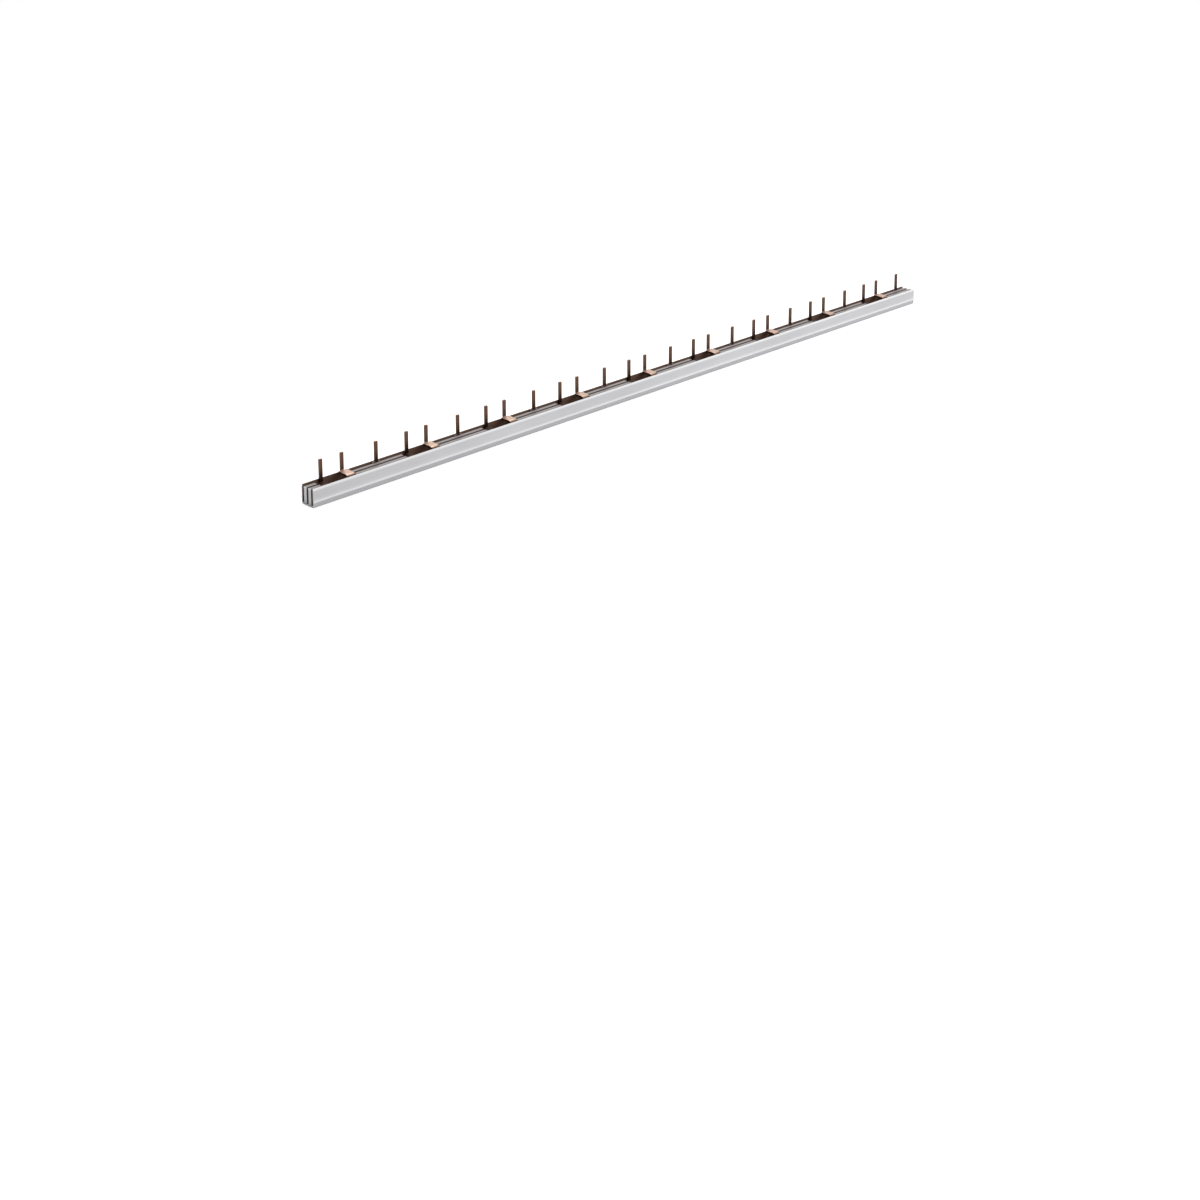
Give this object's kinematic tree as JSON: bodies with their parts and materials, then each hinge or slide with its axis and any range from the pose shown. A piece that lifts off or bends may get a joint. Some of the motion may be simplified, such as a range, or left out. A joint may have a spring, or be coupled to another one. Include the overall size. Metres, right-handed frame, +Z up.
{
  "type": "comb busbar",
  "caption": "Long straight plastic housing, open at the top, holding flat copper strips whose pins stand in one row to link a row of breakers.",
  "frame": {"origin": "centre of the housing's flat underside, halfway along the bar", "axes": "+X along the bar from its first group of pins to its last, +Z up along the pins, the pins stand in the back slot, towards +Y"},
  "size_m": [0.729, 0.0152, 0.0306],
  "materials": {
    "housing": "satin extruded light grey PVC",
    "copper": "bare rolled copper sheet with sheared edges"
  },
  "bodies": {
    "root": {"housing": "housing", "front_comb": "copper", "middle_comb": "copper", "back_comb": "copper"}
  },
  "joints": []
}
